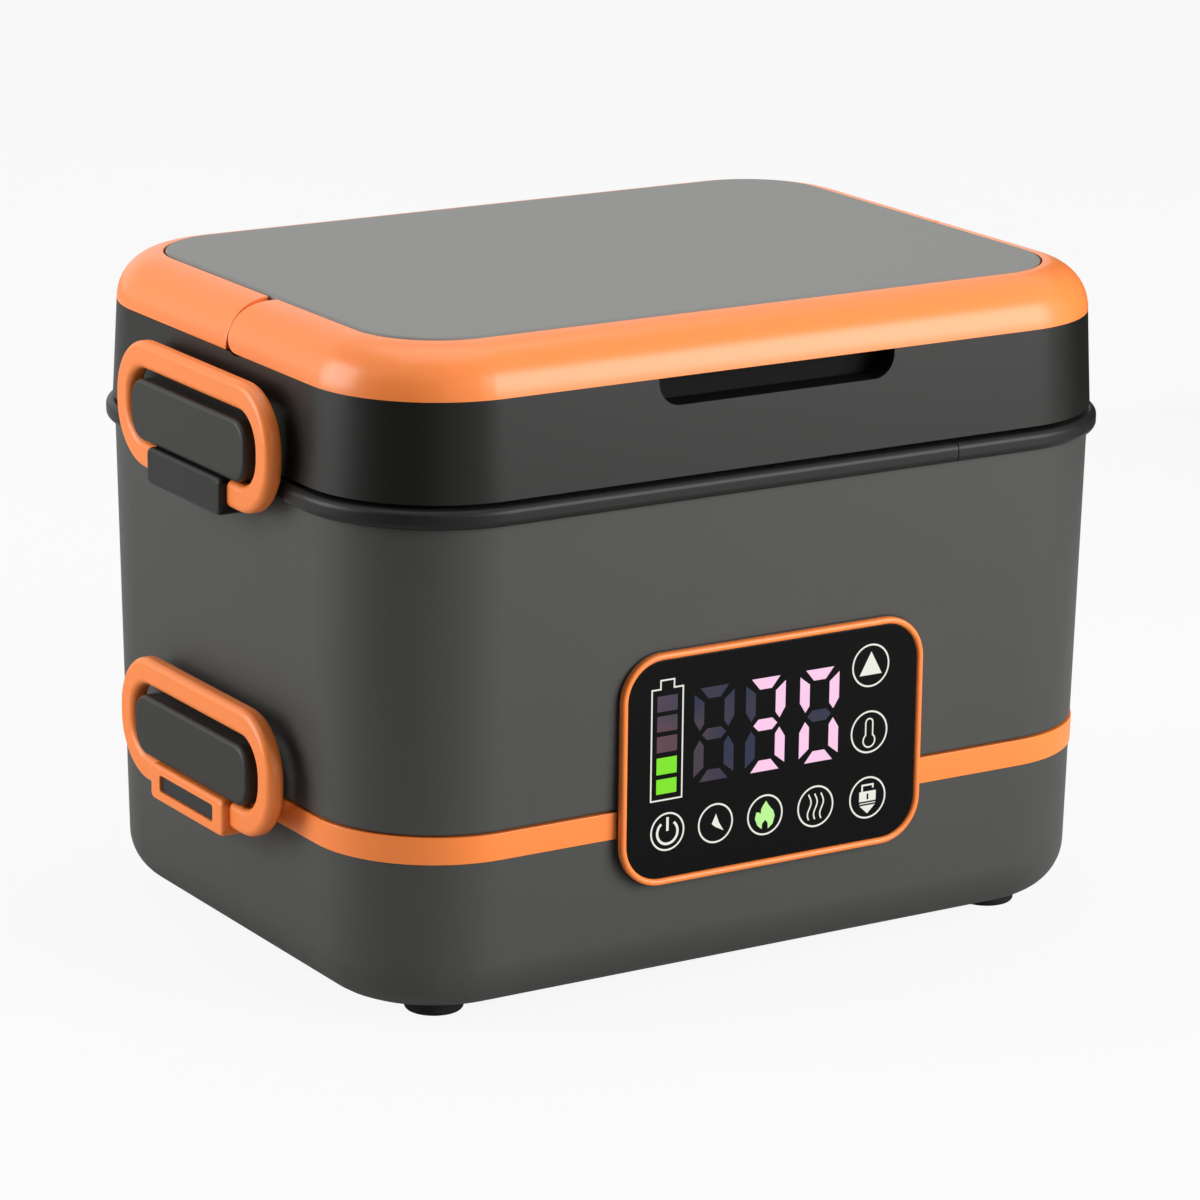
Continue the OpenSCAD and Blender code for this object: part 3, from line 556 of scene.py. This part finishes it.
# Seven segments of a digit, in millimetres from its middle
corner = [(6.3, 11.4), (6.3, 4.1), (4.5, 1.3), (3.2, 3.0), (3.2, 9.0)]
top_bar = [(-4.5, 13.0), (4.5, 13.0), (1.9, 9.9), (-1.9, 9.9)]
SEGMENTS = {
    "top": top_bar,
    "bottom": [(x, -z) for x, z in top_bar],
    "middle": [(-3.8, 0), (-2.2, 1.6), (2.2, 1.6), (3.8, 0), (2.2, -1.6), (-2.2, -1.6)],
    "upper_right": corner,
    "upper_left": [(-x, z) for x, z in corner],
    "lower_right": [(x, -z) for x, z in corner],
    "lower_left": [(-x, -z) for x, z in corner],
}
DIGIT_Z = 7.7
bright, faint = [], []
for middle, missing in ((-19.7, set(SEGMENTS)), (-3.4, {"upper_left", "lower_left"}),
                        (13.9, {"middle"})):
    for name, outline in SEGMENTS.items():
        segment = field([(x + middle, z + DIGIT_Z) for x, z in outline])
        (faint if name in missing else bright).append(segment)

# Battery sign: an outline with its pole, and five cells of which two are lit
CELL_LEFT, CELL_RIGHT = -37.6, -31.3
cells = []
for low, high in ((16.0, 20.3), (10.5, 14.8), (4.8, 9.2), (-1.3, 3.3), (-6.7, -2.6)):
    cells.append(field([(CELL_LEFT, low), (CELL_RIGHT, low), (CELL_RIGHT, high),
                        (CELL_LEFT, high)]))
battery = stroke([(-39.3, 22.2), (-36.6, 22.2), (-36.6, 24.6), (-32.4, 24.6), (-32.4, 22.3),
                  (-29.6, 22.3), (-29.6, -8.4), (-39.3, -8.4)], 0.42, closed=True)

# Keys: down the right side and along the bottom
LINE = 0.5
up_key, warmth_key, lock_key = (30.4, 19.2), (30.4, 0.5), (30.4, -18.1)
power_key, clock_key, flame_key, steam_key = (
    (-33.9, -17.4), (-18.7, -17.5), (-2.9, -17.7), (13.4, -17.9))


def at(key, points):
    return [(key[0] + x, key[1] + z) for x, z in points]


white = [battery]
for key, radius in ((up_key, 5.8), (warmth_key, 5.75), (lock_key, 5.7), (power_key, 5.1),
                    (clock_key, 5.3), (flame_key, 5.45), (steam_key, 5.6)):
    white.append(ring(*key, radius, LINE))
white.append(field(at(up_key, [(0.1, 3.9), (-3.6, -2.6), (3.6, -2.6)])))
white.append(stroke(at(warmth_key, [
    (-1.15, -0.9), *arc(0, 2.6, 1.15, -90, 90, 12), (1.15, -0.9),
    *arc(0, -2.4, 1.9, 40, 320, 24)]), 0.42, closed=True))
white.append(field(at(lock_key, [(-2.7, -1.0), (2.7, -1.0), (2.7, 1.8), (-2.7, 1.8)])))
white.append(stroke(at(lock_key, [(-1.8, 1.8), (-1.8, 3.6), (1.7, 3.6), (1.7, 2.6)]), 0.5))
white.append(stroke(at(lock_key, [(-2.6, -1.6), (2.6, -1.6)]), 0.25))
white.append(field(at(lock_key, [(-2.5, -2.2), (2.5, -2.2), (0, -4.5)])))
white.append(stroke(at(power_key, arc(0, -0.2, 3.2, 38, 322)), 0.72))
white.append(stroke(at(power_key, [(0, 4.0), (0, 0.2)]), 0.75))
white.append(field(at(clock_key, [(0.1, 2.6), (1.1, 0.0), (2.6, -2.4), (-0.1, -1.0),
                                  (-1.2, -0.1)])))
for offset in (-2.0, 0.0, 2.0):
    wave = [(offset + 0.55 * math.sin(2.1 * math.pi * t - 0.6), 3.6 - 7.2 * t)
            for t in (i / 24 for i in range(25))]
    white.append(stroke(at(steam_key, wave), 0.42))
flame = field(at(flame_key, [
    (0.3, 3.9), (-0.6, 2.8), (-1.2, 1.9), (-1.4, 0.4), (-2.0, 1.0), (-2.8, 1.0), (-3.2, -0.7),
    (-2.4, -2.7), (-1.0, -3.9), (-0.9, -2.4), (0.1, -1.4), (0.9, -2.4), (1.0, -4.0),
    (2.5, -2.8), (3.1, -0.6), (2.6, 0.9), (1.6, 2.0), (0.9, 2.9)]))
keyhole = field(at(lock_key, [(-0.3, -0.5), (0.3, -0.5), (0.3, 1.1), (-0.3, 1.1)]))
for vertex in keyhole.data.vertices:
    vertex.co.y -= 0.02 * MM

printed("marks_white", white, lit("lit_white", (238, 240, 228)))
printed("marks_digits", bright, lit("lit_pink", (255, 206, 238)))
printed("marks_digits_unlit", faint, unlit("unlit_field", (66, 54, 66), (38, 44, 70)))
printed("marks_cells_unlit", cells[:3], unlit("unlit_cell", (96, 64, 74), (66, 58, 76)))
printed("marks_cells_lit", cells[3:], lit("lit_green", (128, 233, 34)))
printed("marks_flame", [flame], lit("lit_flame", (190, 250, 152)))
printed("marks_keyhole", [keyhole], glass_black)

# ---------------------------------------------------------------- bosses
# Rounded dark blocks on the side walls of the body and the lid. Each latch loop
# snaps over one and pulls the parts together.

boss_plastic = plastic("boss_plastic", (44, 45, 42), 0.4, specular=0.22)
for side in ("left", "right"):
    moulded("boss_lower_" + side, "body", boss_plastic)
    moulded("bracket_upper_" + side, "body", bead)

# ---------------------------------------------------------------- lid
# A dark, smoother moulding with a skirt that leans in, a finger recess at the
# front and a shoulder under the orange frame. Below it are a pale liner, a soft
# seal and foam.

lid_plastic = plastic("lid_plastic", (25, 26, 23), 0.36, specular=0.23, depth=0.01)
lid_shell = moulded("lid_shell", "lid", lid_plastic, edge=0.35 * MM)
# The box, in millimetres, that holds the finger recess; the faces inside it are painted black
# as shade
RECESS_LOW, RECESS_HIGH = (-37.2, -86.6, 162.2), (37.2, -79.2, 170.2)
# Painted shade: a near-black plastic on the faces inside the recess, where shade falls under
# the frame
lid_shell.data.materials.append(plastic("recess_painted_shade", (12, 12, 11), 0.6, specular=0.1))
for side in lid_shell.data.polygons:
    if all(low < c / MM < high for low, c, high in zip(RECESS_LOW, side.center, RECESS_HIGH)):
        side.material_index = 1
for side in ("left", "right"):
    moulded("boss_upper_" + side, "lid", boss_plastic)
moulded("lid_liner", "lid", liner_plastic)
seal_rubber = rubber_like("seal_silicone", (216, 216, 212), 0.6)
dress(seal_rubber, "lid_seal")
dress(foam, "lid_foam")
dress(pin_steel, "lid_screws", "handle_pivots")

# ---------------------------------------------------------------- top panel
# A flat grey panel with a rounded edge, let into the orange frame and standing a
# hair above it.

panel_grey = plastic("panel_grey", (130, 131, 128), 0.5, specular=0.22, pits=1500.0,
                     depth=0.02, unevenness=0.05)
moulded("top_panel", "lid", panel_grey, edge=0.2 * MM)

# ---------------------------------------------------------------- orange frame
# The rear half of the frame round the top is fixed trim. The front half is the
# carry handle, which pivots in the lid's sides and lies flush with the trim.

frame_orange = plastic("frame_orange", (255, 142, 72), 0.3, specular=0.4, pits=2400.0,
                       depth=0.006, unevenness=0.04)
moulded("rear_trim", "lid", frame_orange, edge=0.35 * MM)
moulded("handle", "handle", frame_orange, edge=0.35 * MM)

# ---------------------------------------------------------------- latches
# Four oval loops of orange plastic. Each hinges on a steel pin through its
# bracket and snaps over a boss.

for level in ("upper", "lower"):
    for side in ("left", "right"):
        body = "latch_" + level + "_" + side
        moulded("loop_" + level + "_" + side, body, orange, edge=0)
        dress(pin_steel, "pin_" + level + "_" + side)

# ---------------------------------------------------------------- floor
# A plain pale floor that runs out of view. The camera sees it near white and it
# keeps the soft shadow under the box.

FLOOR_SIZE = 12  # metres
FLOOR_PALE, FLOOR_GLOW = 0.64, 0.91  # its colour, and the share that glows to the camera

bpy.ops.object.select_all(action='DESELECT')
bpy.ops.mesh.primitive_plane_add(size=FLOOR_SIZE, location=(0, 0, 0))
floor = bpy.context.object
floor.name = "studio_floor"
floor_material = bpy.data.materials.new("pale_floor")
floor_material.use_nodes = True
nodes, links = floor_material.node_tree.nodes, floor_material.node_tree.links
nodes.remove(nodes["Principled BSDF"])
matt = nodes.new('ShaderNodeBsdfDiffuse')
matt.inputs["Color"].default_value = (FLOOR_PALE, FLOOR_PALE, FLOOR_PALE, 1)
glow = nodes.new('ShaderNodeEmission')
glow.inputs["Color"].default_value = (1, 1, 1, 1)
path = nodes.new('ShaderNodeLightPath')
seen = math_node(nodes, 'MULTIPLY', None, FLOOR_GLOW)
cover = nodes.new('ShaderNodeMixShader')
links.new(path.outputs["Is Camera Ray"], seen.inputs[0])
links.new(seen.outputs[0], cover.inputs["Fac"])
links.new(matt.outputs[0], cover.inputs[1])
links.new(glow.outputs[0], cover.inputs[2])
links.new(cover.outputs[0], nodes["Material Output"].inputs["Surface"])
floor.data.materials.append(floor_material)
floor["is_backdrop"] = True

# ---------------------------------------------------------------- light
# Soft boxes to the front right, to the back left and overhead, and a pale room.
# Dark cards stand where the front left corner and the right side face, out of the
# camera's sight, to keep the dark plastic deep there.

ROOM_LIGHT, ROOM_SEEN = 0.2, 1.0  # the room's strength on the box, and when looked at

world = bpy.data.worlds.new("studio")
bpy.context.scene.world = world
world.use_nodes = True
nodes, links = world.node_tree.nodes, world.node_tree.links
room = nodes["Background"]
room.inputs["Color"].default_value = (1, 1, 1, 1)
path = nodes.new('ShaderNodeLightPath')
direct = math_node(nodes, 'MAXIMUM')
shown = math_node(nodes, 'MAXIMUM')
level = nodes.new('ShaderNodeMapRange')
level.inputs["To Min"].default_value = ROOM_LIGHT
level.inputs["To Max"].default_value = ROOM_SEEN
links.new(path.outputs["Is Camera Ray"], direct.inputs[0])
links.new(path.outputs["Is Transmission Ray"], direct.inputs[1])
links.new(direct.outputs[0], shown.inputs[0])
links.new(path.outputs["Is Glossy Ray"], shown.inputs[1])
links.new(shown.outputs[0], level.inputs["Value"])
links.new(level.outputs["Result"], room.inputs["Strength"])

AIM = Vector((0, 0, 0.09))
for name, place, size, power in (
        ("box_front_right", (0.95, -1.4, 0.60), (1.1, 1.2), 33.0),
        ("box_left", (-1.5, 0.8, 0.60), (1.0, 1.2), 24.0),
        ("box_top", (0.1, 0.2, 1.7), (1.3, 1.3), 10.0)):
    bpy.ops.object.light_add(type='AREA', location=place)
    lamp = bpy.context.object
    lamp.name = name
    lamp.data.shape = 'RECTANGLE'
    lamp.data.size, lamp.data.size_y = size
    lamp.data.energy = power
    lamp.rotation_euler = (AIM - lamp.location).to_track_quat('-Z', 'Y').to_euler()

felt = bpy.data.materials.new("black_felt")
felt.use_nodes = True
cloth = felt.node_tree.nodes["Principled BSDF"]
cloth.inputs["Base Color"].default_value = (0.01, 0.01, 0.01, 1)
cloth.inputs["Specular IOR Level"].default_value = 0.0
CARD_AIM = Vector((0, 0, 0.26))
for name, place, size in (
        ("card_front_left", (-0.50, -0.33, 0.26), (0.56, 0.52)),
        ("card_right", (0.55, 0.10, 0.26), (0.60, 0.52))):
    bpy.ops.object.select_all(action='DESELECT')
    bpy.ops.mesh.primitive_plane_add(size=1, location=place)
    card = bpy.context.object
    card.name = name
    card.scale = (*size, 1)
    card.rotation_euler = (CARD_AIM - card.location).to_track_quat('-Z', 'Y').to_euler()
    card.visible_camera = False
    card.data.materials.append(felt)
    card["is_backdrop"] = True

# ---------------------------------------------------------------- camera
# The photograph's view, from a fit to the lines of the box.

CAMERA_PLACE = Vector((-737.4, -1184.8, 472.2)) * MM
azimuth, elevation, roll = math.radians(-31.91), math.radians(15.53), math.radians(0.68)
backward = Vector((math.sin(azimuth) * math.cos(elevation),
                   -math.cos(azimuth) * math.cos(elevation), math.sin(elevation)))
level_right = Vector((math.cos(azimuth), math.sin(azimuth), 0))
level_up = backward.cross(level_right)
right = level_right * math.cos(roll) + level_up * math.sin(roll)
up = level_up * math.cos(roll) - level_right * math.sin(roll)
bpy.ops.object.camera_add()
camera = bpy.context.object
camera.matrix_world = (Matrix.Translation(CAMERA_PLACE)
                       @ Matrix((right, up, backward)).transposed().to_4x4())
camera.data.sensor_width = 36.0
camera.data.lens = 155.02
camera.data.clip_end = 20.0
bpy.context.scene.camera = camera
bpy.context.scene.view_settings.view_transform = 'Standard'

low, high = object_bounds()
